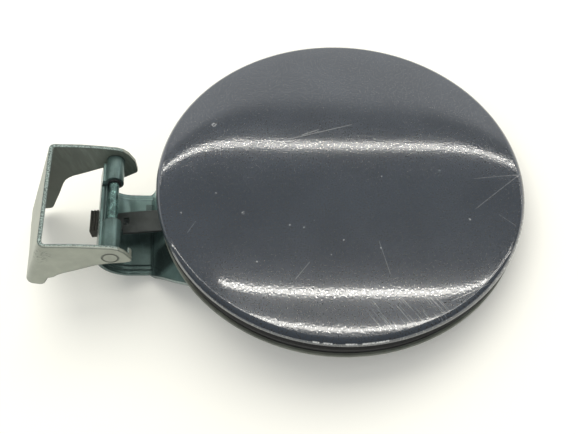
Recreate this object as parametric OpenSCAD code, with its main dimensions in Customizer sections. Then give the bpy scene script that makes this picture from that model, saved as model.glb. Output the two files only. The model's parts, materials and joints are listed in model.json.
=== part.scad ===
// Round car fuel door lying on its back: pressed disc, gooseneck hinge arm and U-shaped hinge bracket.
// Millimetres, +Z up. The origin is on the outer face of the bracket's web, where the door is fastened to a car.
// +Y runs along the hinge pin and +X points to the disc. Every piece is drawn level with the disc and about the
// middle of the pin, then the whole door is tipped by rest_tilt, as it lies on a table, and moved to the origin.

/* [Disc] */
// Outside diameter of the painted disc
disc_d = 165; // [150:1:180]
// Rise of the skin's crown from its rolled edge to its middle
crown_h = 1.5; // [0.8:0.1:3]
// Radius of the skin's rolled edge
roll_r = 3; // [2.4:0.2:3.6]
// Sheet thickness of the skin
skin_t = 0.9; // [0.7:0.1:1.2]
// Depth of the skin's turned-down wall below its widest line
wall_drop = 3.5; // [3:0.1:4.5]
// Depth of the whole rim below the widest line
rim_depth = 10.8; // [9.5:0.1:13]
// Sheet thickness of the inner panel
panel_t = 1.1; // [0.8:0.1:1.4]
// Height of the light strip round the panel's lower edge
strip_h = 1.6; // [1:0.1:2]

/* [Hinge arm] */
// Distance from the pin to the disc's nearest rim
rim_gap = 20.9; // [18:0.1:26]
// Height of the disc's widest line above the pin
disc_lift = 9.2; // [7:0.1:12]
// Width of the gooseneck strap
arm_w = 45.4; // [40:0.2:48]
// Sheet thickness of the strap
arm_t = 1.6; // [1.2:0.1:1.8]
// Outer radius of the gooseneck's round bottom
neck_r = 15; // [13:0.25:17]
// Length of the strap's straight wall under the knuckles
neck_wall = 8.6; // [8:0.2:11]
// Height of each of the two steps pressed along the strap's edges
step_h = 0.7; // [0.4:0.1:0.9]
// Slope of the fan that rises to the disc
fan_rise = 50; // [44:1:56]
// Half width of the fan where it meets the disc's rim
fan_half = 43.5; // [40:0.5:50]

/* [Bracket] */
// Width of the bracket over its two arms
bracket_w = 56; // [54:0.5:62]
// Sheet thickness of the bracket
bracket_t = 1.8; // [1.5:0.1:2]
// Distance from the pin to the bracket's upper corner
bracket_reach = 27.4; // [25:0.2:34]
// Lean of the bracket's web from upright
web_lean = 25; // [20:0.5:30]
// Depth of the long leg below the pin
long_leg = 35; // [30:0.5:40]
// Depth of the short leg below the pin
short_leg = 19; // [16:0.5:24]

/* [Pin] */
// Diameter of the hinge pin
pin_d = 4.4; // [4:0.1:4.8]
// Diameter of the pin's flush head
head_d = 7.1; // [6.4:0.1:7.4]
// Outside diameter of the rolled knuckles
knuckle_d = 8.4; // [8.2:0.1:8.8]
// Wall of the two bushes in the knuckles
bush_t = 0.35; // [0.3:0.05:0.45]

/* [Spring] */
// Width of the flat spring plate
plate_w = 11.8; // [10:0.2:13]
// Thickness of the spring plate
plate_t = 1.3; // [1:0.1:1.6]
// Depth of the spring plate below the pin
plate_drop = 15.6; // [14.6:0.2:16.4]
// Length of the ribbed pad along the pin
pad_l = 11.4; // [11:0.2:14]

/* [Pose] */
// Tip of the whole door as it lies on a table, disc edge down
rest_tilt = 9.5; // [0:0.5:10]

/* [Hidden] */
$fn = 96;
disc_r = disc_d / 2;
disc_x = rim_gap + disc_r;
panel_z = disc_lift - rim_depth;
arm_y = bracket_w / 2;
bore_r = pin_d / 2 + 0.05;
bush_r = bore_r + bush_t;
knuckle_r = knuckle_d / 2;
knuckle_end = arm_y - bracket_t - 0.4;
gap_near = -9.6;
gap_far = 12.4;
wall_lean = 20;
floor_fall = 9;
bend_r = 3.4;
floor_run = 8.7;
tongue_w = plate_w * 0.8;
tongue_y = -plate_w * 0.31;

// Points of an arc in a profile, from angle a0 to a1.
function arc_pts(c, r, a0, a1, n) = [for (i = [0 : n]) let (a = a0 + (a1 - a0) * i / n) c + r * [cos(a), sin(a)]];

// A point moved by a distance along a heading.
function ahead(p, heading, run) = p + run * [cos(heading), sin(heading)];

// Extrudes a side outline along the pin, from y0 to y1.
module side_block(y0, y1) {
    translate([0, y1, 0])
        rotate([90, 0, 0])
            linear_extrude(y1 - y0)
                children();
}

// Skin: crowned face, rolled edge and turned-down wall, hemmed inwards.
// The face is nearly flat in its middle and falls away faster towards the rolled edge.
function crown_z(r, drop) = let (s = r / (disc_r - roll_r))
    roll_r + crown_h * (1 - 0.53 * pow(s, 2) - 0.47 * pow(s, 7)) - drop;

module skin_profile() {
    run = disc_r - roll_r;
    in_r = roll_r - skin_t;
    hem_r = disc_r - 3.4;
    polygon(concat(
        [for (i = [0 : 10]) let (r = run * sin(i * 9)) [r, crown_z(r, 0)]],
        arc_pts([run, 0], roll_r, 84, 0, 5),
        [[disc_r, -wall_drop + 0.3], [disc_r - 0.3, -wall_drop], [hem_r, -wall_drop], [hem_r, -wall_drop + skin_t]],
        [[disc_r - skin_t, -wall_drop + skin_t]],
        arc_pts([run, 0], in_r, 0, 84, 3),
        [for (i = [4 : -1 : 0]) let (r = run * sin(i * 22.5)) [r, crown_z(r, skin_t)]]
    ));
}

module outer_skin() {
    color([0.25, 0.27, 0.33])
        translate([disc_x, 0, disc_lift])
            rotate_extrude()
                skin_profile();
}

// Inner panel: flange held in the hem, drawn wall, flat back with a shallow raised field and a ring bead.
module panel_profile() {
    top_z = -wall_drop + skin_t;
    wall_r = disc_r - 4.2;
    field_r = disc_r * 0.62;
    bead_r = disc_r * 0.8;
    foot = -rim_depth;
    polygon(concat(
        [[0, foot + 1.4], [field_r - 4, foot + 1.4], [field_r - 1, foot]],
        [[bead_r - 3, foot]],
        arc_pts([bead_r, foot - 1.2], 3.2, 158, 22, 4),
        [[bead_r + 3, foot], [wall_r, foot], [wall_r, top_z], [disc_r - skin_t, top_z]],
        [[disc_r - skin_t, top_z + panel_t], [wall_r - panel_t, top_z + panel_t], [wall_r - panel_t, foot + panel_t]],
        [[bead_r + 3, foot + panel_t]],
        arc_pts([bead_r, foot - 1.2 + panel_t], 3.2, 22, 158, 4),
        [[bead_r - 3, foot + panel_t], [field_r - 0.6, foot + panel_t]],
        [[field_r - 3.6, foot + 1.4 + panel_t], [0, foot + 1.4 + panel_t]]
    ));
}

module inner_panel() {
    color([0.3, 0.33, 0.34])
        translate([disc_x, 0, disc_lift])
            rotate_extrude()
                panel_profile();
}

// Black bead that fills the groove between the hem and the light strip.
module hem_sealant() {
    in_r = disc_r - 4.2;
    out_r = disc_r - 1.3;
    low = -rim_depth + strip_h;
    color([0.05, 0.05, 0.06])
        translate([disc_x, 0, disc_lift])
            rotate_extrude()
                polygon([[in_r, low], [out_r, low], [out_r - 0.5, (low - wall_drop) / 2], [out_r, -wall_drop],
                    [in_r, -wall_drop]]);
}

// Light strip round the panel's lower edge.
module edge_strip() {
    in_r = disc_r - 4.2;
    low = -rim_depth;
    color([0.72, 0.74, 0.72])
        translate([disc_x, 0, disc_lift])
            rotate_extrude()
                polygon([[in_r, low], [disc_r - 0.5, low], [disc_r, low + 0.5], [disc_r, low + strip_h - 0.4],
                    [disc_r - 0.4, low + strip_h], [in_r, low + strip_h]]);
}

// Headings and corner points of the gooseneck, taken on the strap's outer surface.
h_wall = 270 - wall_lean;
h_floor = 360 - floor_fall;
p_wall = (knuckle_r + 1.2) * [-cos(wall_lean), sin(wall_lean)];
p_neck = ahead(p_wall, h_wall, neck_wall);
c_neck = ahead(p_neck, h_wall + 90, neck_r);
p_floor = ahead(c_neck, h_floor - 90, neck_r);
p_bend = ahead(p_floor, h_floor, floor_run);
c_bend = ahead(p_bend, h_floor + 90, bend_r);
p_fan = ahead(c_bend, fan_rise - 90, bend_r);
lip_r = 5;
fan_run = (panel_z - lip_r + (lip_r - arm_t) * cos(fan_rise) - p_fan[1]) / sin(fan_rise);
p_lip = ahead(p_fan, fan_rise, fan_run);
c_lip = ahead(p_lip, fan_rise - 90, lip_r - arm_t);
lip_end = rim_gap * 3;

// One side of the strap's profile, moved inwards by d: wall, round bottom, floor and bend, from skip on.
function neck_side(d, skip) = concat(
    [ahead(ahead(p_wall, h_wall, skip), h_wall + 90, d)],
    arc_pts(c_neck, neck_r - d, h_wall - 90, h_floor - 90, 28),
    arc_pts(c_bend, bend_r - d, h_floor - 90, fan_rise + 270, 10));

// The rest of the profile: the fan, its bend and the flange under the panel.
function fan_side(d) = concat(arc_pts(c_lip, lip_r - arm_t + d, fan_rise + 90, 90, 8), [[lip_end, panel_z - arm_t + d]]);

function reversed(v) = [for (i = [len(v) - 1 : -1 : 0]) v[i]];

// A step pressed along the strap: the same sheet, moved inwards and cut narrower.
module neck_layer(step, w, skip) {
    side_block(-w / 2, w / 2)
        polygon(concat(neck_side(step, skip), reversed(neck_side(step + arm_t, skip))));
}

// The whole strap, drawn wide and trimmed in plan to its flared outline.
module strap() {
    intersection() {
        side_block(-fan_half - 2, fan_half + 2)
            polygon(concat(neck_side(0, -0.8), fan_side(0), reversed(fan_side(arm_t)), reversed(neck_side(arm_t, -0.8))));
        translate([0, 0, -60])
            linear_extrude(80)
                fan_outline();
    }
}

module fan_outline() {
    half = arm_w / 2;
    flare = fan_half - half;
    rise = rim_gap * 1.67 - p_bend[0];
    back = lip_end - rim_gap * 1.67;
    edge = [[-neck_r, half], [p_bend[0], half], [p_bend[0] + rise * 0.15, half + flare * 0.13],
        [p_bend[0] + rise * 0.34, half + flare * 0.32], [p_bend[0] + rise * 0.63, half + flare * 0.63],
        [p_bend[0] + rise, fan_half], [p_bend[0] + rise + back * 0.2, fan_half * 0.98],
        [p_bend[0] + rise + back * 0.72, fan_half * 0.74], [lip_end, fan_half * 0.35]];
    other = [for (i = [len(edge) - 1 : -1 : 0]) [edge[i][0], -edge[i][1]]];
    polygon(concat(edge, other));
}

module hinge_arm() {
    color([0.22, 0.27, 0.28])
        difference() {
            union() {
                rotate([90, 0, 0])
                    cylinder(r = knuckle_r, h = 2 * knuckle_end, center = true);
                strap();
                neck_layer(step_h, arm_w - 4, 5);
                neck_layer(2 * step_h, arm_w - 8, 5.4);
            }
            rotate([90, 0, 0])
                cylinder(r = bush_r, h = bracket_w, center = true);
            translate([-12, gap_near, -0.8])
                cube([24, gap_far - gap_near, 12]);
            translate([0, gap_far, 0])
                rotate([90, 0, 0])
                    cylinder(r = bush_r + 0.85, h = gap_far - gap_near);
            translate([-1.6, gap_near, -5])
                cube([12, gap_far - gap_near, 10]);
            translate([-12, tongue_y - 0.4, -plate_drop - plate_t / 2 - 0.4])
                cube([10, tongue_w + 0.8, plate_t + 0.8]);
        }
}

// Flat spring: plate with a square hole, a tongue through the strap's window and a foot on the fan.
module spring_plate() {
    z0 = -plate_drop - plate_t / 2;
    fan_x = p_fan[0] + (z0 - p_fan[1]) / tan(fan_rise) - arm_t / sin(fan_rise);
    color([0.36, 0.34, 0.31]) {
        translate([4.2, -plate_w / 2, z0])
            cube([fan_x - 4.2, plate_w, plate_t]);
        translate([1.4, -plate_w / 2, z0])
            cube([3, plate_w * 0.4, plate_t]);
        translate([1.4, plate_w * 0.23, z0])
            cube([3, plate_w * 0.27, plate_t]);
        translate([-12, tongue_y, z0])
            cube([13.6, tongue_w, plate_t]);
        translate([fan_x, 0, z0])
            rotate([0, -fan_rise, 0])
                translate([0, -plate_w / 2, 0])
                    cube([7, plate_w, plate_t]);
    }
}

// Ribbed pad pushed over the end of the spring's tongue.
module spring_pad() {
    pad_x = -13.7;
    pad_t = 4;
    pad_h = 5.4;
    z0 = -plate_drop - pad_h / 2;
    color([0.13, 0.1, 0.08])
        difference() {
            union() {
                translate([pad_x, tongue_y - 1, z0])
                    cube([pad_t, pad_l, pad_h]);
                for (x = [0.6 : 1.4 : 3.6])
                    translate([pad_x + x, tongue_y - 1, z0 + pad_h])
                        rotate([-90, 0, 0])
                            cylinder(r = 0.55, h = pad_l, $fn = 32);
            }
            translate([-12, tongue_y, -plate_drop - plate_t / 2])
                cube([6, tongue_w, plate_t]);
        }
}

// Two flanged bushes, one in each knuckle, their flanges facing the bare length of the pin.
module knuckle_bushes() {
    color([0.12, 0.13, 0.13]) {
        bush(gap_far, knuckle_end);
        mirror([0, 1, 0])
            bush(-gap_near, knuckle_end);
    }
}

module bush(y0, y1) {
    flange_t = 0.8;
    rotate([-90, 0, 0])
        rotate_extrude()
            polygon([[bore_r, y0 - flange_t], [bush_r + 0.55, y0 - flange_t], [bush_r + 0.55, y0], [bush_r, y0],
                [bush_r, y1], [bore_r, y1]]);
}

// Pin: flush head in the near arm, plain shank, low riveted end on the far arm.
module hinge_pin() {
    head_r = head_d / 2;
    color([0.5, 0.55, 0.53])
        rotate([-90, 0, 0])
            rotate_extrude()
                polygon([[0, -arm_y - 0.1], [head_r - 0.5, -arm_y - 0.1], [head_r, -arm_y + 0.25],
                    [head_r, -arm_y + bracket_t], [pin_d / 2, -arm_y + bracket_t], [pin_d / 2, arm_y],
                    [pin_d / 2 + 1, arm_y], [pin_d / 2 + 0.7, arm_y + 0.8], [pin_d / 2 - 0.6, arm_y + 1.2],
                    [0, arm_y + 1.2]]);
}

// Bracket: U-shaped pressing. A point of its side outline is given by a run s down the web's outer face
// and a distance k off that face.
top_z = 14;
corner_r = 3.2;
down = [-sin(web_lean), -cos(web_lean)];
off = [cos(web_lean), -sin(web_lean)];
corner_top = [-bracket_reach, top_z];
long_s = (long_leg + top_z - corner_r * sin(web_lean)) / cos(web_lean);
short_s = (short_leg + top_z) / cos(web_lean) - 4.3;
inner_y = arm_y - bracket_t;
seat_s = 20;

function web_pt(s, k) = corner_top + s * down + k * off;

ear_top = [[-14, 11.1], [-4.5, 8.9], [2, 7.1], [4.6, 5.7], [6.6, 3], [7.8, -0.2], [8.6, -2.6]];
arm_low = [[-1.6, -4.5], [-7.6, -5.1], [-17, -8], [-22.5, -9.5]];

// Side outline of the far arm with its long leg, and a lug under its ear.
module long_outline() {
    foot = web_pt(long_s, corner_r);
    polygon(concat([web_pt(0, corner_r)], ear_top,
        [[8.6, -9.2], [8, -10.4], [7, -11], [1.4, -13.8], [0, -13.9], [-0.8, -13]], arm_low,
        [[-25, -10.7], [-27.2, -12.4], [-29, -15], [-30.8, -18.4], [-32.6, -22]],
        [[foot[0] + 8, -long_leg + 2], [foot[0] + 7, -long_leg + 0.5], [foot[0] + 5.6, -long_leg], foot]));
}

// Side outline of the near arm with its short leg.
module short_outline() {
    polygon(concat([web_pt(0, corner_r)], ear_top, [[8.6, -3.4], [7.6, -4.4], [5.4, -4.8]], arm_low,
        [[-25.4, -10.6], [-28, -12.4], web_pt(short_s - 6.6, 8.6), web_pt(short_s - 3.6, 8.2),
            web_pt(short_s - 1.6, 7.9), web_pt(short_s - 0.5, 7.2), web_pt(short_s, 6), web_pt(short_s, corner_r)]));
}

// Lip bent inwards along the front of the near ear.
module lip_outline() {
    polygon([[7.2, -0.5], [7.9, -0.6], [8.5, -2.4], [8.5, -3.2], [7.2, -3.2]]);
}

// Draws in the web's own frame: x off its outer face, y along the pin, z up the slope.
module on_web() {
    translate([-bracket_reach, 0, top_z])
        rotate([0, web_lean, 0])
            children();
}

// Section of the web and its two bends, across the web's slope; the bends end in short stubs that lap the arms.
module web_section() {
    y = arm_y - corner_r;
    in_r = corner_r - bracket_t;
    stub = corner_r + 1;
    polygon(concat([[stub, -arm_y + 0.01]], arc_pts([corner_r, -y], corner_r - 0.01, 270, 180, 8),
        arc_pts([corner_r, y], corner_r - 0.01, 180, 90, 8), [[stub, arm_y - 0.01], [stub, inner_y + 0.01]],
        arc_pts([corner_r, y], in_r + 0.01, 90, 180, 8), arc_pts([corner_r, -y], in_r + 0.01, 180, 270, 8),
        [[stub, -inner_y - 0.01]]));
}

// Web: the bent section, cut to a slanted lower edge.
module web() {
    half = arm_y - corner_r;
    on_web()
        intersection() {
            translate([0, 0, -60])
                linear_extrude(60)
                    web_section();
            translate([-2, 0, 0])
                rotate([90, 0, 90])
                    linear_extrude(12)
                        polygon([[-arm_y - 2, -0.02], [arm_y + 2, -0.02], [arm_y + 2, -long_s + 0.02],
                            [half, -long_s + 0.02], [half * 0.56, -long_s + 3.9], [-half * 0.4, -short_s - 3.8],
                            [-half, -short_s + 0.02], [-arm_y - 2, -short_s + 0.02]]);
        }
}

module hinge_bracket() {
    lip_y = 5;
    color([0.66, 0.7, 0.67])
        difference() {
            union() {
                web();
                side_block(inner_y, arm_y)
                    long_outline();
                side_block(-arm_y, -inner_y)
                    short_outline();
                side_block(-inner_y - bracket_t / 2, -arm_y + lip_y)
                    lip_outline();
            }
            rotate([90, 0, 0])
                cylinder(r = pin_d / 2, h = 80, center = true);
            translate([0, -inner_y + 1, 0])
                rotate([90, 0, 0])
                    cylinder(r = head_d / 2 + 0.08, h = 6);
        }
}

// The web's middle, as drawn and once tipped.
seat = web_pt(seat_s, 0);
seat_x = seat[0] * cos(rest_tilt) + seat[1] * sin(rest_tilt);
seat_z = seat[1] * cos(rest_tilt) - seat[0] * sin(rest_tilt);

module tipped() {
    translate([-seat_x, 0, -seat_z])
        rotate([0, rest_tilt, 0])
            children();
}

tipped() outer_skin();
tipped() inner_panel();
tipped() hem_sealant();
tipped() edge_strip();
tipped() hinge_arm();
tipped() spring_plate();
tipped() spring_pad();
tipped() knuckle_bushes();
tipped() hinge_pin();
tipped() hinge_bracket();
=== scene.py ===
"""Dresses a round car fuel door: painted disc, gooseneck hinge arm, sprung bracket, and a pale table under it."""
import json
from functools import reduce
from math import cos, degrees, pi, radians, sin

import bmesh
import bpy
from bpy.props import FloatProperty, FloatVectorProperty, IntProperty, PointerProperty
from mathutils import Matrix, Vector


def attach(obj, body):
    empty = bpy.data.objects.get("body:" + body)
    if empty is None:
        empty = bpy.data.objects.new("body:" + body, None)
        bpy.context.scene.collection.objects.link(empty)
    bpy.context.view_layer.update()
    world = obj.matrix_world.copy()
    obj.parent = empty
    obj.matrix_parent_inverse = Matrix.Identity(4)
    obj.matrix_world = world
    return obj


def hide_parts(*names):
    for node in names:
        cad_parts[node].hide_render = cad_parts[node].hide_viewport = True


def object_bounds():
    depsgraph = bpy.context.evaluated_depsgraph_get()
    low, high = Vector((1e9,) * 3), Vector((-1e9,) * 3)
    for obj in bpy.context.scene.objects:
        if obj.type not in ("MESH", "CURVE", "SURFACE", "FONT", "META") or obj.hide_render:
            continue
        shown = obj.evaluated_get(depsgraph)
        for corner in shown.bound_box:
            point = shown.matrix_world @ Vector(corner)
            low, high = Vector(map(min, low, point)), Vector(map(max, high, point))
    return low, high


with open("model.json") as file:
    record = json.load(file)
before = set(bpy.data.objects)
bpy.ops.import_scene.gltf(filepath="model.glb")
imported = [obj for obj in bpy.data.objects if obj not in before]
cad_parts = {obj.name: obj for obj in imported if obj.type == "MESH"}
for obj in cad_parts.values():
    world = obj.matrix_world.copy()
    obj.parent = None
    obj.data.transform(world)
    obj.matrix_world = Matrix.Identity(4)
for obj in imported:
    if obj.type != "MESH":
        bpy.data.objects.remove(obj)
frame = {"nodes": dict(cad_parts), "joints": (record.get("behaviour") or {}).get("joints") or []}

bl_info = {
    "name": "Car fuel door dressing",
    "version": (1, 0, 0),
    "blender": (4, 5, 0),
    "location": "View3D > Sidebar > Fuel door",
    "description": "Builds the painted skin of a car fuel door, finishes its parts and sets up its table and lamps",
    "category": "Object",
}

CAD_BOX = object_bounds()
PIN = Vector(frame["joints"][0]["pos_m"])
TIP = radians(9.5)  # the disc's plane against the table
X, Y, Z = (1, 0, 0), (0, 1, 0), (0, 0, 1)
BLACK, WHITE = (0, 0, 0), (1, 1, 1)

# The crown falls as two powers of the distance from the middle: one broad, one late near the edge.
BROAD, BROAD_POWER = 0.565, 2
LATE, LATE_POWER = 0.435, 9
# The fall shifts from the broad power to the late one by these shares of a place's y, x and both, so it comes
# evenly towards the near side and late towards the far one.
SHIFT_Y, SHIFT_X, SHIFT_XY = 0.385, -0.154, -0.105
# The near shoulder is held up a little, more so to the right, and falls with a still later power.
SHOULDER, SHOULDER_RIGHT, SHOULDER_POWER = 0.07, 0.5, 24
SMOOTH_BELOW = radians(38)  # edges between faces that meet at a smaller angle look smooth
# The skin's faces lower and further out than this, in metres, are its wall and hem, painted near-black as shade.
WALL_TOP, WALL_REACH = 0.0004, 0.07

# Straight scratches on the face: start, end and width, in millimetres on the skin's own x and y axes, which cross
# in the disc's middle.
SCRATCHES = [
    ((-19, 20.5), (7.9, 25.9), 0.22), ((-14.2, 22.2), (-7, 24.4), 0.3), ((60.3, -9.8), (79, -9), 0.2),
    ((80, -9), (57.5, -24.6), 0.22), ((11.6, -39.2), (13.4, -53.3), 0.16), ((-68.1, -25.8), (-65, -21.2), 0.16),
    ((-24.8, -52.4), (-18.8, -45.8), 0.16), ((65.5, -29.7), (70.7, -35.1), 0.15), ((-38.8, -55.4), (-20, -56.9), 0.2),
    ((37, -67.4), (52, -61.8), 0.2),
]
# Chips in the face: middle and size, in the same millimetres.
CHIPS = [
    ((-55.2, 32.4), 1.5), ((-55.6, -7.3), 0.6), ((-44.3, -18.7), 0.9), ((-24.9, -26.9), 0.5), ((-19.1, -28.5), 0.6),
    ((-14.1, -25.5), 0.45), ((-3.1, -36.4), 0.5), ((11.6, -41.6), 0.5), ((51.9, -30.9), 0.7), ((-40, -43.1), 0.5),
    ((-71, -15.8), 0.6), ((-9.4, -43), 0.5), ((44.6, -4.4), 0.6), ((18.2, -5.2), 0.4),
]
# Worn dashes on the near rim: from and to along x, in the same millimetres.
DASHES = [(-20.9, -18.7), (-16.8, -13.7), (-8.4, -4.2), (-1.9, 8.3)]

# Ceiling tubes: name, distance behind the disc's middle, left end, right end, width, and share of the tubes' power.
TUBES = [
    ("tube_far", 0.848, -0.8, 1.6, 0.008, 0.62),
    ("tube_near", 0.376, -0.2, 1.2, 0.016, 0.7),
    ("tube_over", 0.255, -3.2, 3.0, 0.024, 0.72),
]
TUBE_HEIGHT = 1.0
TUBE_SLOPE = 0.088  # how much nearer the tubes run for each metre to the right
TUBE_TURN = -0.0878  # the same slope as an angle
TABLE_HALF = 3.0
CEILING_END = 0.955  # how far back the ceiling reaches before the pale wall, as a share of its height

# Places, sizes and directions level with the disc, in metres. The key lamp's place is from the disc's middle, and its
# aim and the camera's place are from the pin's middle.
KEY_PLACE, KEY_SIZE, KEY_AIM = (-0.2, 0.7, 1.25), (2.2, 1.2), (0.08, 0, 0)
CAMERA_PLACE = (0.06376, -0.18156, 0.25456)
CAMERA_LOOK = (0.05095, 0.54924, -0.8341)
CAMERA_UP = (0.07705, 0.83053, 0.5516)
CAMERA_SIDE = (0.99572, -0.09237, 0)
CAMERA_ROLL = radians(0.05)


def colour_prop(name, default, description):
    return FloatVectorProperty(name=name, description=description, default=default, size=3, min=0, max=1,
                               subtype="COLOR")


def length_prop(name, default, description):
    return FloatProperty(name=name, description=description, default=default, min=0, unit="LENGTH",
                         subtype="DISTANCE", precision=4)


def tipped(x, y, z):
    """A point given level with the disc and from the pin's middle, in metres, taken to the object's own frame."""
    return PIN + Matrix.Rotation(TIP, 3, "Y") @ Vector((x, y, z))


def disc_stand(sizes):
    """Where the disc's middle lies, with its axes tipped as the disc is."""
    return Matrix.Translation(tipped(sizes.pin_to_middle, 0, sizes.lift)) @ Matrix.Rotation(TIP, 4, "Y")


def toned(colour, share, lift=0.0):
    """A colour made lighter or darker by share and raised by lift."""
    return [min(1, c * share + lift) for c in colour]


class DiscSizes(bpy.types.PropertyGroup):
    """Sizes of the painted skin"""
    radius: length_prop("Radius", 0.0825, "Outside radius of the painted disc")
    crown: length_prop("Crown", 0.0015, "Rise of the face from its rolled edge to its middle")
    roll: length_prop("Roll", 0.003, "Radius of the rolled edge")
    sheet: length_prop("Sheet", 0.0009, "Thickness of the skin")
    wall: length_prop("Wall", 0.0035, "Depth of the turned-down wall below the widest line")
    lip: length_prop("Lip", 0.0006, "Radius of the bend from the wall into the hem")
    hem: length_prop("Hem", 0.003, "Distance from the edge in to the middle of the hem's fold")
    pin_to_middle: length_prop("Pin to middle", 0.1034, "Distance from the pin to the disc's middle")
    lift: length_prop("Lift", 0.0092, "Height of the disc's widest line above the pin")
    turns: IntProperty(name="Turns", description="Faces round the disc", default=360, min=24, max=720)


class DoorColours(bpy.types.PropertyGroup):
    """Colours of the door's finishes"""
    paint: colour_prop("Paint", (0.0405, 0.0495, 0.062), "Dark blue-grey of the painted skin")
    flake: colour_prop("Flake", (0.16, 0.167, 0.172), "Metal flakes in the paint")
    bare: colour_prop("Bare", (0.62, 0.64, 0.64), "Whitish metal and filler where the paint is gone")
    primer: colour_prop("Primer", (0.12, 0.185, 0.175), "Slate green-blue coat on the hinge arm")
    panel: colour_prop("Panel", (0.06, 0.075, 0.078), "Grey coat on the inner panel")
    # The hem's bead is near-black, partly as painted shade for the gap under the hem.
    sealer_and_shade: colour_prop("Sealer", (0.006, 0.007, 0.009), "Black bead in the hem")
    strip: colour_prop("Strip", (0.16, 0.175, 0.145), "Light strip round the panel's lower edge")
    bush: colour_prop("Bushes", (0.02, 0.022, 0.022), "Black plastic of the bushes in the knuckles")
    zinc: colour_prop("Bracket", (0.34, 0.365, 0.305), "Pale grey-green coat on the bracket")
    # Painted shade: the bracket's inside colour is a darker copy of its coat for the far arm's inner face.
    zinc_shade: colour_prop("Bracket inside", (0.1, 0.128, 0.108), "Thin dull coat inside the bracket's far arm")
    edge: colour_prop("Sheared edge", (0.17, 0.23, 0.21), "Teal mottle on the bracket's sheared edges")
    steel: colour_prop("Pin", (0.13, 0.22, 0.205), "Greenish steel of the pin")
    spring: colour_prop("Spring", (0.05, 0.058, 0.056), "Grey-brown spring steel")
    rubber: colour_prop("Pad", (0.03, 0.031, 0.026), "Dark brown rubber of the ribbed pad")


class TableSetup(bpy.types.PropertyGroup):
    """Table, lamps and lens"""
    room: FloatProperty(name="Room light", description="Level light from all round", default=0.7, min=0)
    key: FloatProperty(name="Key lamp", description="Power of the large soft lamp above the door", default=20.0,
                       min=0, unit="POWER")
    tube: FloatProperty(name="Tubes", description="Power of a metre of ceiling tube, before each tube's share",
                        default=1.2, min=0, unit="POWER")
    glow: colour_prop("Lamp tint", (1.0, 0.965, 0.89), "Slightly warm white of the lamps")
    table: colour_prop("Table", (0.84, 0.84, 0.78), "Pale table top")
    lens: FloatProperty(name="Lens", description="Focal length on a 36 mm wide sensor", default=42.1, min=1,
                        unit="CAMERA", subtype="DISTANCE_CAMERA")


class Wire:
    """A node's output. Sums written on it add Math nodes to the same material."""

    def __init__(self, bench, socket):
        self.bench = bench
        self.socket = socket

    def sum_up(self, operation, *terms):
        return self.bench.add("ShaderNodeMath", {"operation": operation}, dict(enumerate(terms)))

    def __add__(self, other):
        return self.sum_up("ADD", self, other)

    __radd__ = __add__

    def __mul__(self, other):
        return self.sum_up("MULTIPLY", self, other)

    __rmul__ = __mul__

    def __sub__(self, other):
        return self.sum_up("SUBTRACT", self, other)

    def __rsub__(self, other):
        return self.sum_up("SUBTRACT", other, self)

    def __abs__(self):
        return self.sum_up("ABSOLUTE", self)

    def __or__(self, other):
        """The stronger of two masks."""
        return self.sum_up("MAXIMUM", self, other)

    def step(self, low, high):
        """0 below low and 1 above high, eased between them. It falls instead where low is above high."""
        flip = low > high
        settings = {"interpolation_type": "SMOOTHSTEP"}
        values = {"Value": self, "From Min": min(low, high), "From Max": max(low, high)}
        values.update({"To Min": 1.0 if flip else 0.0, "To Max": 0.0 if flip else 1.0})
        return self.bench.add("ShaderNodeMapRange", settings, values)

    def span(self, low, high, soft):
        """1 between low and high, fading out over soft beyond each end."""
        return self.step(low - soft, low) * self.step(high + soft, high)


def strongest(masks):
    """The strongest of several masks."""
    return reduce(Wire.__or__, masks)


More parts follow.
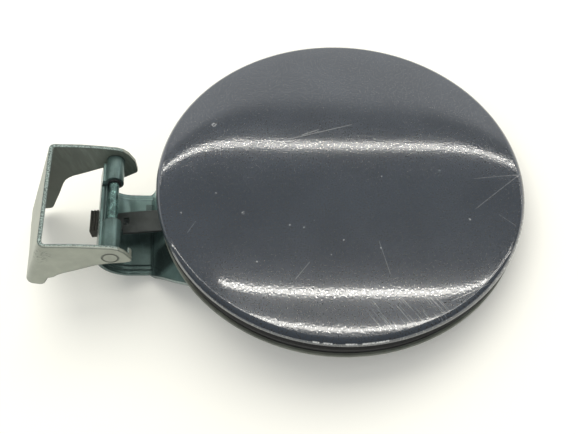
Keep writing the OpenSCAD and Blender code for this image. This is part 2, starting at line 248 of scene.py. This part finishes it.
class Bench:
    """Adds the nodes of one tree."""

    def __init__(self, tree):
        self.nodes = tree.nodes
        self.links = tree.links
        self.nodes.clear()

    def add(self, kind, settings=None, values=None, output=0):
        """Adds a node, sets it, then fills its sockets with values or links. Returns one output."""
        node = self.nodes.new(kind)
        for key, value in (settings or {}).items():
            setattr(node, key, value)
        for key, value in (values or {}).items():
            self.fill(node.inputs[key], value)
        return Wire(self, node.outputs[output] if len(node.outputs) else None)

    def fill(self, socket, value):
        if isinstance(value, Wire):
            self.links.new(value.socket, socket)
        elif socket.type == "RGBA" and len(value) == 3:
            socket.default_value = (*value, 1)
        else:
            socket.default_value = value

    def vector(self, operation, first, second=None, output=0):
        """One vector sum of two points or directions."""
        values = {0: first} if second is None else {0: first, 1: second}
        return self.add("ShaderNodeVectorMath", {"operation": operation}, values, output)

    def place(self, stretch=(1, 1, 1), turn=0.0):
        """The point on the surface in millimetres, turned about the vertical and stretched."""
        spot = self.add("ShaderNodeTexCoord", output="Object")
        scale = [1000.0 * s for s in stretch]
        if turn:
            spot = self.add("ShaderNodeVectorRotate", {"rotation_type": "Z_AXIS"}, {"Vector": spot, "Angle": turn})
        return self.vector("MULTIPLY", spot, scale)

    def axis(self, spot, way):
        """How far a point lies along a direction."""
        return self.vector("DOT_PRODUCT", spot, way, "Value")

    def along(self, spot):
        """How far a point lies along x, y and z."""
        return [self.axis(spot, way) for way in (X, Y, Z)]

    def gap(self, spot, middle):
        """Distance of a point from a middle."""
        return self.vector("DISTANCE", spot, middle, "Value")

    def reach(self, spot, plane):
        """Distance of a point from the axis that stands on a plane."""
        return self.vector("LENGTH", self.vector("MULTIPLY", spot, plane), output="Value")

    def noise(self, spot, scale, detail=2.0, roughness=0.5):
        """Cloudy value round 0.5, with about scale lumps a millimetre."""
        values = {"Vector": spot, "Scale": scale, "Detail": detail, "Roughness": roughness}
        return self.add("ShaderNodeTexNoise", None, values)

    def blend(self, share, first, second):
        """first where share is 0 and second where it is 1."""
        values = {0: share, 6: first, 7: second}
        return self.add("ShaderNodeMix", {"data_type": "RGBA"}, values, output=2)

    def clouded(self, share, colour, dark, light):
        """A colour that drifts between a darker and a lighter tone of itself."""
        return self.blend(share, toned(colour, dark), toned(colour, light))

    def relief(self, height, strength, depth, base=None):
        """A bump of that depth in metres where height goes from 0 to 1."""
        values = {"Height": height, "Strength": strength, "Distance": depth}
        if base is not None:
            values["Normal"] = base
        return self.add("ShaderNodeBump", None, values)

    def rounded(self, radius):
        """The surface's normal with its sharp edges eased by radius, in metres."""
        return self.add("ShaderNodeBevel", {"samples": 6}, {"Radius": radius})

    def facing(self, way):
        """1 where the surface faces that way in its own piece's frame, -1 where it faces away."""
        return self.axis(self.add("ShaderNodeTexCoord", output="Normal"), way)

    def edges(self, radius):
        """Mask of the sharp edges, a thin line about radius wide, in metres."""
        normal = self.add("ShaderNodeNewGeometry", output="Normal")
        return self.axis(normal, self.rounded(radius)).step(0.998, 0.955)


class Finish(Bench):
    """One material. Its shader's sockets are fed by name, with underscores for spaces."""

    def __init__(self, name, **fixed):
        self.material = bpy.data.materials.new(name)
        self.material.use_nodes = True
        super().__init__(self.material.node_tree)
        shader = self.add("ShaderNodeBsdfPrincipled")
        self.shader = shader.socket.node
        self.add("ShaderNodeOutputMaterial", None, {"Surface": shader})
        self.feed(**fixed)

    def feed(self, **values):
        for key, value in values.items():
            self.fill(self.shader.inputs[key.replace("_", " ")], value)


def scratch(bench, spot, start, end, width):
    """Mask of one straight scratch on the disc's face."""
    run = Vector((*end, 0)) - Vector((*start, 0))
    way = run.normalized()
    side = Vector((-way.y, way.x, 0))
    first = Vector((*start, 0))
    across = abs(bench.axis(spot, side) - first.dot(side))
    along = bench.axis(spot, way) - first.dot(way)
    return across.step(width, width * 0.35) * along.span(0, run.length, run.length * 0.12)


def rim_wear(bench, spot, reach):
    """Mask of the bare places on the rolled edge: dashes near the front, a nibbled right side and a few nicks."""
    along, deep, high = bench.along(spot)
    ragged = bench.noise(spot, 0.5, 4, 0.7)
    edge = reach.step(80.9, 81.3) * high.span(1.35, 1.75, 0.25)
    dashes = strongest(along.span(start, end, 0.3) for start, end in DASHES)
    dashes = dashes * deep.step(-70, -76) * ragged.step(0.3, 0.4)
    right = along.step(40, 66) * ragged.step(0.5, 0.58)
    nicks = ragged.step(0.66, 0.7)
    return edge * (dashes | right | nicks) * bench.noise(spot, 1.8, 1).step(0.3, 0.42)


def skin_paint(colours):
    """Dark flaked paint with fine swirl marks, scratches, chips and a worn edge."""
    bench = Finish("skin_paint", Specular_IOR_Level=0.8, Coat_Roughness=0.17)
    spot = bench.place()
    flat = bench.vector("MULTIPLY", spot, (1, 1, 0))
    along, deep, _ = bench.along(spot)
    grain = bench.noise(flat, 1.0, 0)
    flake = bench.noise(flat, 1.5, 0).step(0.52, 0.71)
    hair = bench.noise(bench.place((0.05, 1.2, 1), 0.12), 1.3, 2, 0.6)
    cloud = bench.noise(flat, 0.03, 3, 0.5)

    scored = strongest(scratch(bench, flat, *line) for line in SCRATCHES)
    chipped = strongest(bench.gap(flat, (*middle, 0)).step(size, size * 0.55) for middle, size in CHIPS)
    chipped = chipped * bench.noise(flat, 1.4, 2).step(0.42, 0.56)
    slant = bench.noise(bench.place((3.2, 0.09, 1), radians(-30.5)), 0.8, 1, 0.4)
    rubbed = slant.step(0.62, 0.7) * along.span(6, 32, 6) * deep.span(-76, -67, 4)
    worn = rim_wear(bench, spot, bench.reach(spot, (1, 1, 0)))
    bare = bench.noise(spot, 0.9, 3).step(0.3, 0.5)
    marks = scored * 0.2 | rubbed * 0.16 | chipped * 0.55 | worn * (bare * 0.4 + 0.5)

    shade = bench.clouded(cloud.step(0.35, 0.65), colours.paint, 1, 1.18)
    shade = bench.blend(flake * flake, shade, colours.flake)
    shade = bench.blend(marks, shade, colours.bare)
    bench.feed(Base_Color=shade, Metallic=flake * (1 - marks) * 0.76)
    bench.feed(Coat_Weight=0.4 + deep.step(-10, -45) * 0.6, Roughness=0.045 + grain * 0.015 + worn * 0.3)
    height = grain + hair.step(0.6, 0.75) * 0.05 - marks * 1.5
    bench.feed(Normal=bench.relief(height, 1.0, 0.0000055))
    return bench.material


def rim_shade():
    """Near-black paint low on the skin's wall and in its hem: painted shade, with a faint dirty mottle."""
    bench = Finish("rim_shade", Specular_IOR_Level=0.1)
    dirt = bench.noise(bench.place(), 0.4, 4, 0.7)
    bench.feed(Base_Color=bench.blend(dirt.step(0.45, 0.7), (0.004, 0.004, 0.006), (0.014, 0.015, 0.014)))
    bench.feed(Roughness=0.5 + dirt * 0.2, Normal=bench.relief(dirt, 0.4, 0.00005))
    return bench.material


def sheet_coat(name, colour, roughness, speck=0.4, easing=0.0004):
    """Coat on pressed steel: cloudy tone, fine specks and eased edges."""
    bench = Finish(name)
    spot = bench.place()
    cloud = bench.noise(spot, 0.09, 4, 0.6)
    dust = bench.noise(spot, 1.9, 2, 0.7)
    shade = bench.clouded(cloud.step(0.3, 0.7), colour, 0.8, 1.18)
    shade = bench.blend(dust.step(0.6, 0.72) * speck, shade, toned(colour, 1.5, 0.03))
    bench.feed(Base_Color=shade, Roughness=roughness - 0.06 + cloud * 0.12 + dust * 0.06)
    bench.feed(Normal=bench.relief(dust * 0.6 + cloud, 0.3, 0.00008, bench.rounded(easing)))
    return bench.material


def arm_paint(colour):
    """Glossy slate-green coat on the gooseneck, with painted light at its collar, strap and fan tip and painted shade
    inside its fan, at a notch and on a small square.
    """
    bench = Finish("arm_paint", Metallic=0.5)
    spot = bench.place()
    along, deep, high = bench.along(spot)
    cloud = bench.noise(spot, 0.1, 4, 0.6)
    dust = bench.noise(spot, 1.7, 3, 0.75)
    streaks = bench.noise(bench.place((1.6, 0.12, 1.6)), 0.7, 2, 0.6)

    inside = high.step(-12, -18) * bench.facing(Z).step(0, 0.2)
    # Painted shade: the fan under the disc, a notch and a small square low in the neck are painted near-black.
    fan = along.step(43, 50) * deep.span(-24, -14, 5) * 0.85
    notch = along.span(32.2, 35.2, 0.3) * deep.span(2.8, 7, 0.3)
    square = along.span(42.4, 45.6, 0.3) * deep.span(12, 15.8, 0.3) * 0.6
    dark = (fan | notch | square) * inside
    # Painted light: the collar, the far part of the neck's floor and the fan's near tip are painted lighter.
    collar = along.step(33, 32.3) * high.step(-1, 0)
    tip = along.step(52, 56) * deep.step(-27, -29) * 0.4
    light = collar | deep.step(4, 11) * inside | tip

    shade = bench.clouded(cloud.step(0.3, 0.7), colour, 0.75, 1.2)
    shade = bench.blend(streaks.step(0.55, 0.75) * 0.35, shade, toned(colour, 1.9))
    shade = bench.blend(light * 0.5, shade, toned(colour, 2.3))
    shade = bench.blend(dark, shade, toned(colour, 0.1))
    shade = bench.blend(dust.step(0.63, 0.72) * 0.5, shade, toned(colour, 2.6, 0.05))
    shade = bench.blend(bench.edges(0.001) * 0.6, shade, toned(colour, 0.25))
    bench.feed(Base_Color=shade, Roughness=0.14 + cloud * 0.12 + dust * 0.06)
    bench.feed(Normal=bench.relief(dust * 0.5 + cloud, 0.3, 0.00008, bench.rounded(0.0005)))
    return bench.material


def bracket_coat(colours):
    """Pale coat on the bracket, with painted shade on the inner face of its far arm, mottled sheared edges and a
    scuffed corner.
    """
    bench = Finish("bracket_zinc")
    spot = bench.place()
    along, deep, high = bench.along(spot)
    cloud = bench.noise(spot, 0.11, 4, 0.6)
    dust = bench.noise(spot, 1.6, 3, 0.75)

    # Painted shade: the far arm's inner face gets a darker copy of the coat, lighter along x, with darker smears and
    # darker towards the bottom where x is small.
    smear = bench.noise(bench.place((1, 1, 0.2), 0.3), 0.5, 3, 0.6).step(0.35, 0.6)
    low = along.step(15, 9) * high.step(7, -2)
    dull = bench.blend(along.step(18, 27), colours.zinc_shade, toned(colours.zinc_shade, 1.5))
    dull = bench.blend(smear * 0.5 | low * 0.6, dull, toned(colours.zinc_shade, 0.4))
    inward = bench.facing((0, -1, 0)).step(0.5, 0.8) * deep.step(24.0, 25.5)

    fleck = bench.noise(spot, 2.2, 2, 0.7).step(0.44, 0.56)
    mottle = bench.blend(fleck, toned(colours.edge, 0.35), toned(colours.edge, 1.6, 0.08))
    sheared = bench.facing((0.16, 0, 0.98)).step(0.72, 0.9) * (1 - deep.step(-26.9, -27.3) * 0.8)
    rough = bench.noise(bench.place((0.5, 1, 2.2), 0.4), 0.9, 3, 0.7).step(0.52, 0.6)
    scuff = bench.gap(spot, (8.5, -28, 9.5)).step(6.5, 3.5) * rough

    shade = bench.clouded(cloud.step(0.3, 0.7), colours.zinc, 0.9, 1.1)
    shade = bench.blend(inward * (cloud * 0.3 + 0.7), shade, dull)
    shade = bench.blend(dust.step(0.62, 0.72) * 0.3, shade, colours.edge)
    shade = bench.blend(sheared, shade, mottle)
    shade = bench.blend(scuff * 0.75 | bench.edges(0.001) * 0.7, shade, (0.06, 0.085, 0.075))
    bench.feed(Base_Color=shade, Roughness=0.34 + cloud * 0.14 + dust * 0.06)
    bench.feed(Normal=bench.relief(dust * 0.5 + cloud, 0.3, 0.0001, bench.rounded(0.0005)))
    return bench.material


def spring_steel(colour):
    """Rolled spring steel with a faint lengthwise grain and dull stains."""
    bench = Finish("spring_steel", Metallic=0.35)
    grain = bench.noise(bench.place((0.08, 2.5, 0.4)), 1.0, 2)
    stain = bench.noise(bench.place(), 0.25, 4, 0.6)
    shade = bench.clouded(stain.step(0.3, 0.7), colour, 0.85, 1.2)
    shade = bench.blend(stain.step(0.64, 0.74) * 0.15, shade, (0.09, 0.075, 0.055))
    bench.feed(Base_Color=shade, Roughness=0.34 + stain * 0.16)
    bench.feed(Normal=bench.relief(grain + stain * 0.4, 0.3, 0.00004, bench.rounded(0.0003)))
    return bench.material


def pin_steel(colours):
    """Greenish turned steel on the pin's shank. Its head carries the bracket's coat inside a dark ring."""
    bench = Finish("pin_steel")
    spot = bench.place()
    rings = bench.noise(bench.place((0.15, 3, 0.15)), 0.8, 2)
    stain = bench.noise(spot, 0.3, 4, 0.6)
    reach = bench.reach(bench.vector("SUBTRACT", spot, PIN * 1000), (1, 0, 1))
    head = bench.axis(spot, Y).step(-27.6, -27.9)
    shank = bench.clouded(stain.step(0.35, 0.65), colours.steel, 0.7, 1.6)
    coat = bench.clouded(stain.step(0.3, 0.7), colours.zinc, 0.85, 1.05)
    coat = bench.blend(reach.span(3.0, 3.4, 0.2) * 0.75, coat, (0.05, 0.055, 0.045))
    bench.feed(Base_Color=bench.blend(head, shank, coat), Metallic=(1 - head) * 0.75)
    bench.feed(Roughness=head * 0.15 + stain * 0.2 + 0.16)
    bench.feed(Normal=bench.relief(rings + stain * 0.4, 0.35, 0.00005, bench.rounded(0.0003)))
    return bench.material


def pad_rubber(colour):
    """Dull rubber, paler with dust on top of its ribs."""
    bench = Finish("pad_rubber")
    dust = bench.noise(bench.place(), 1.2, 3, 0.7)
    shade = bench.blend(dust.step(0.5, 0.75) * bench.facing(Z).step(0.2, 0.9), colour, (0.09, 0.075, 0.06))
    bench.feed(Base_Color=shade, Roughness=0.6 + dust * 0.2, Normal=bench.relief(dust, 0.5, 0.00012))
    return bench.material


def dress(material, node):
    """Gives a carried-over node its finish."""
    piece = frame["nodes"][node]
    if not piece.material_slots:
        piece.data.materials.append(material)
    for slot in piece.material_slots:
        slot.material = material


def arc(middle, radius, start, end, count):
    """Points of an arc in the skin's profile, in degrees."""
    angles = [radians(start + (end - start) * i / count) for i in range(count + 1)]
    return [(middle[0] + radius * cos(a), middle[1] + radius * sin(a)) for a in angles]


def skin_profile(sizes):
    """Section of the skin from the middle of its face, round the edge and the hem, to its underside."""
    run = sizes.radius - sizes.roll
    low = -sizes.wall

    def face(share, drop):
        fall = BROAD * share ** BROAD_POWER + LATE * share ** LATE_POWER
        return run * share, sizes.roll + sizes.crown * (1 - fall) - drop

    steep = 90 - degrees(sizes.crown * (BROAD_POWER * BROAD + LATE_POWER * LATE) / run)
    shares = [sin(radians(90 * i / 56)) for i in range(56)]
    outside = [face(share, 0) for share in shares]
    roll = arc((run, 0), sizes.roll, steep, 0, 16)
    lip = arc((sizes.radius - sizes.lip, low + sizes.lip), sizes.lip, 0, -90, 6)
    fold = arc((sizes.radius - sizes.hem, low + sizes.sheet / 2), sizes.sheet / 2, 270, 90, 8)
    corner = [(sizes.radius - sizes.sheet, low + sizes.sheet)]
    inside = arc((run, 0), sizes.roll - sizes.sheet, 0, steep, 10)
    under = [face(share, sizes.sheet) for share in shares[::-2]]
    under[-1] = face(0, sizes.sheet)
    return outside + roll + lip + fold + corner + inside + under


def revolve(name, profile, turns):
    """Solid of revolution about its own upright axis. The profile's two ends lie on the axis."""
    form = bmesh.new()
    rings = []
    for reach, height in profile:
        angles = [2 * pi * i / turns for i in range(turns if reach > 1e-9 else 1)]
        rings.append([form.verts.new((reach * cos(a), reach * sin(a), height)) for a in angles])
    for first, second in zip(rings, rings[1:]):
        for i in range(turns):
            j = (i + 1) % turns
            if len(first) == 1:
                form.faces.new((first[0], second[i], second[j]))
            elif len(second) == 1:
                form.faces.new((first[i], second[0], first[j]))
            else:
                form.faces.new((first[i], second[i], second[j], first[j]))
    bmesh.ops.recalc_face_normals(form, faces=form.faces)
    for face in form.faces:
        face.smooth = True
    for edge in form.edges:
        edge.smooth = edge.calc_face_angle(0) < SMOOTH_BELOW
    mesh = bpy.data.meshes.new(name)
    form.to_mesh(mesh)
    form.free()
    piece = bpy.data.objects.new(name, mesh)
    bpy.context.scene.collection.objects.link(piece)
    return piece


def settle(mesh, sizes):
    """Lets the face fall evenly towards its near side and late towards its far one, as on a door in a curved flank."""
    run = sizes.radius - sizes.roll
    for vertex in mesh.vertices:
        x, y = vertex.co.x / run, vertex.co.y / run
        share = (x * x + y * y) ** 0.5
        if share < 1 and vertex.co.z > 0:
            shift = SHIFT_Y * y + SHIFT_X * x + SHIFT_XY * x * y
            held = SHOULDER * max(0, -y) * (1 + SHOULDER_RIGHT * x)
            vertex.co.z += sizes.crown * shift * (share ** BROAD_POWER - share ** LATE_POWER)
            vertex.co.z += sizes.crown * held * (share ** LATE_POWER - share ** SHOULDER_POWER)
    mesh.update()


class FUELDOOR_OT_skin(bpy.types.Operator):
    """Build the painted skin: crowned face, rolled edge and hem"""
    bl_idname = "fuel_door.skin"
    bl_label = "Painted skin"

    def execute(self, context):
        sizes = context.scene.fuel_disc
        skin = revolve("painted_skin", skin_profile(sizes), sizes.turns)
        settle(skin.data, sizes)
        skin.matrix_world = disc_stand(sizes)
        for material in (skin_paint(context.scene.fuel_colours), rim_shade()):
            skin.data.materials.append(material)
        for face in skin.data.polygons:
            face.material_index = int(face.center.z < WALL_TOP and face.center.xy.length > WALL_REACH)
        bpy.context.view_layer.update()
        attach(skin, "door")
        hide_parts("outer_skin")
        return {"FINISHED"}


class FUELDOOR_OT_rim(bpy.types.Operator):
    """Finish the inner panel, the bead in the hem and the strip under it"""
    bl_idname = "fuel_door.rim"
    bl_label = "Panel and rim"

    def execute(self, context):
        colours = context.scene.fuel_colours
        dress(sheet_coat("panel_paint", colours.panel, 0.45), "inner_panel")
        # The bead's near-black stands partly for the shade in the gap under the hem.
        dress(sheet_coat("sealant", colours.sealer_and_shade, 0.35, 0.1), "hem_sealant")
        dress(sheet_coat("strip_grey", colours.strip, 0.4, 0.3), "edge_strip")
        return {"FINISHED"}


class FUELDOOR_OT_arm(bpy.types.Operator):
    """Finish the gooseneck hinge arm and the bushes in its knuckles"""
    bl_idname = "fuel_door.arm"
    bl_label = "Hinge arm"

    def execute(self, context):
        colours = context.scene.fuel_colours
        dress(arm_paint(colours.primer), "hinge_arm")
        dress(sheet_coat("bush_plastic", colours.bush, 0.5, 0.2, 0.0002), "knuckle_bushes")
        return {"FINISHED"}


class FUELDOOR_OT_spring(bpy.types.Operator):
    """Finish the flat spring and the ribbed pad on its tongue"""
    bl_idname = "fuel_door.spring"
    bl_label = "Spring and pad"

    def execute(self, context):
        colours = context.scene.fuel_colours
        dress(spring_steel(colours.spring), "spring_plate")
        dress(pad_rubber(colours.rubber), "spring_pad")
        return {"FINISHED"}


class FUELDOOR_OT_bracket(bpy.types.Operator):
    """Finish the hinge bracket and its pin"""
    bl_idname = "fuel_door.bracket"
    bl_label = "Bracket and pin"

    def execute(self, context):
        colours = context.scene.fuel_colours
        dress(bracket_coat(colours), "hinge_bracket")
        dress(pin_steel(colours), "hinge_pin")
        return {"FINISHED"}


def seen(bench):
    """1 for camera, mirror and see-through rays, and 0 for the light that falls on things."""
    kinds = ("Is Camera Ray", "Is Glossy Ray", "Is Transmission Ray")
    return strongest(bench.add("ShaderNodeLightPath", output=kind) for kind in kinds)


def table_top(setup):
    """Pale table with a faint tint in its shaded part, white to the eye where nothing shades it and further out."""
    bench = Finish("table_top", Specular_IOR_Level=0.0, Roughness=0.9, Emission_Strength=1.0)
    spot = bench.place()
    glow = seen(bench) * (bench.gap(spot, (100, 0, 0)).step(230, 700) * 0.88 + 0.12)
    bench.feed(Base_Color=bench.clouded(bench.noise(spot, 0.012, 2), setup.table, 0.985, 1))
    bench.feed(Emission_Color=bench.blend(glow, BLACK, WHITE))
    return bench.material


def lay_table(setup):
    """Square table top at the object's lowest point."""
    low, half = CAD_BOX[0][2], TABLE_HALF
    corners = [(-half, -half, low), (half, -half, low), (half, half, low), (-half, half, low)]
    mesh = bpy.data.meshes.new("table")
    mesh.from_pydata(corners, [], [(0, 1, 2, 3)])
    mesh.materials.append(table_top(setup))
    table = bpy.data.objects.new("table", mesh)
    bpy.context.scene.collection.objects.link(table)


def hang_lamp(name, stand, size, power, tint):
    """Rectangular lamp that shines along its own downward axis."""
    data = bpy.data.lights.new(name, "AREA")
    data.shape = "RECTANGLE"
    data.size, data.size_y = size
    data.energy = power
    data.color = tint
    lamp = bpy.data.objects.new(name, data)
    lamp.matrix_world = stand
    bpy.context.scene.collection.objects.link(lamp)
    return lamp


def hang_lamps(setup, sizes):
    """Three tubes that show in reflections alone, and a large soft lamp that shows in none."""
    hub = disc_stand(sizes)
    lie = Matrix.Rotation(TIP, 4, "Y")
    for name, behind, left, right, width, share in TUBES:
        middle, length = (left + right) / 2, right - left
        spot = hub @ Vector((middle, behind - TUBE_SLOPE * middle, TUBE_HEIGHT))
        stand = Matrix.Translation(spot) @ lie @ Matrix.Rotation(TUBE_TURN, 4, "Z")
        tube = hang_lamp(name, stand, (length, width), setup.tube * share * length, setup.glow)
        tube.visible_diffuse = False
    spot = hub @ Vector(KEY_PLACE)
    aim = (spot - tipped(*KEY_AIM)).to_track_quat("Z", "Y")
    key = hang_lamp("key", Matrix.Translation(spot) @ aim.to_matrix().to_4x4(), KEY_SIZE, setup.key, setup.glow)
    key.visible_glossy = False


def room_light(setup):
    """Level light all round, white to the camera, and in reflections pale walls under a darker ceiling."""
    world = bpy.data.worlds.new("room")
    bpy.context.scene.world = world
    world.use_nodes = True
    bench = Bench(world.node_tree)
    way = bench.add("ShaderNodeTexCoord", output="Generated")
    height = bench.axis(way, (sin(TIP), 0, cos(TIP)))
    behind = bench.axis(way, (TUBE_SLOPE * cos(TIP), 1, -TUBE_SLOPE * sin(TIP)))
    walls = (behind - height * CEILING_END).step(-0.03, 0.03)
    dimmed = behind.step(-0.35, 0.15)
    tone = (walls * 0.88 + 0.12) * (dimmed * 0.7 + 0.3)
    shown = bench.blend(tone, BLACK, WHITE)
    shown = bench.blend(bench.add("ShaderNodeLightPath", output="Is Camera Ray"), shown, WHITE)
    level = bench.add("ShaderNodeBackground", None, {"Color": WHITE, "Strength": setup.room})
    sight = bench.add("ShaderNodeBackground", None, {"Color": shown})
    mixed = bench.add("ShaderNodeMixShader", None, {0: seen(bench), 1: level, 2: sight})
    bench.add("ShaderNodeOutputWorld", None, {"Surface": mixed})


def camera_view(setup):
    """Camera above the near side of the disc, as the door was seen."""
    look, up, side = Vector(CAMERA_LOOK), Vector(CAMERA_UP), Vector(CAMERA_SIDE)
    across = side * cos(CAMERA_ROLL) - up * sin(CAMERA_ROLL)
    tall = side * sin(CAMERA_ROLL) + up * cos(CAMERA_ROLL)
    lie = Matrix.Rotation(TIP, 3, "Y")
    turn = Matrix((lie @ across, lie @ tall, lie @ -look)).transposed()
    data = bpy.data.cameras.new("view")
    data.lens = setup.lens
    data.sensor_width = 36
    data.clip_start = 0.01
    camera = bpy.data.objects.new("view", data)
    camera.matrix_world = Matrix.Translation(tipped(*CAMERA_PLACE)) @ turn.to_4x4()
    bpy.context.scene.collection.objects.link(camera)
    bpy.context.scene.camera = camera


class FUELDOOR_OT_stage(bpy.types.Operator):
    """Lay the table, hang the lamps and place the camera"""
    bl_idname = "fuel_door.stage"
    bl_label = "Table, lamps and camera"

    def execute(self, context):
        setup = context.scene.fuel_table
        lay_table(setup)
        hang_lamps(setup, context.scene.fuel_disc)
        room_light(setup)
        camera_view(setup)
        context.scene.view_settings.view_transform = "Standard"
        return {"FINISHED"}


class FUELDOOR_PT_parts(bpy.types.Panel):
    """Lists the operators and the sizes and colours they use"""
    bl_idname = "FUELDOOR_PT_parts"
    bl_label = "Fuel door"
    bl_space_type = "VIEW_3D"
    bl_region_type = "UI"
    bl_category = "Fuel door"

    def draw(self, context):
        for kind in OPERATORS:
            self.layout.operator(kind.bl_idname)
        for group in (context.scene.fuel_disc, context.scene.fuel_colours, context.scene.fuel_table):
            box = self.layout.box()
            for name in group.__annotations__:
                box.prop(group, name)


GROUPS = {"fuel_disc": DiscSizes, "fuel_colours": DoorColours, "fuel_table": TableSetup}
OPERATORS = [FUELDOOR_OT_skin, FUELDOOR_OT_rim, FUELDOOR_OT_arm, FUELDOOR_OT_spring, FUELDOOR_OT_bracket,
             FUELDOOR_OT_stage]


def register():
    for kind in [*GROUPS.values(), *OPERATORS, FUELDOOR_PT_parts]:
        bpy.utils.register_class(kind)
    for name, kind in GROUPS.items():
        setattr(bpy.types.Scene, name, PointerProperty(type=kind))


def unregister():
    for name in GROUPS:
        delattr(bpy.types.Scene, name)
    for kind in reversed([*GROUPS.values(), *OPERATORS, FUELDOOR_PT_parts]):
        bpy.utils.unregister_class(kind)


def main():
    register()
    bpy.ops.fuel_door.skin()
    bpy.ops.fuel_door.rim()
    bpy.ops.fuel_door.arm()
    bpy.ops.fuel_door.spring()
    bpy.ops.fuel_door.bracket()
    bpy.ops.fuel_door.stage()


if __name__ == "__main__":
    main()
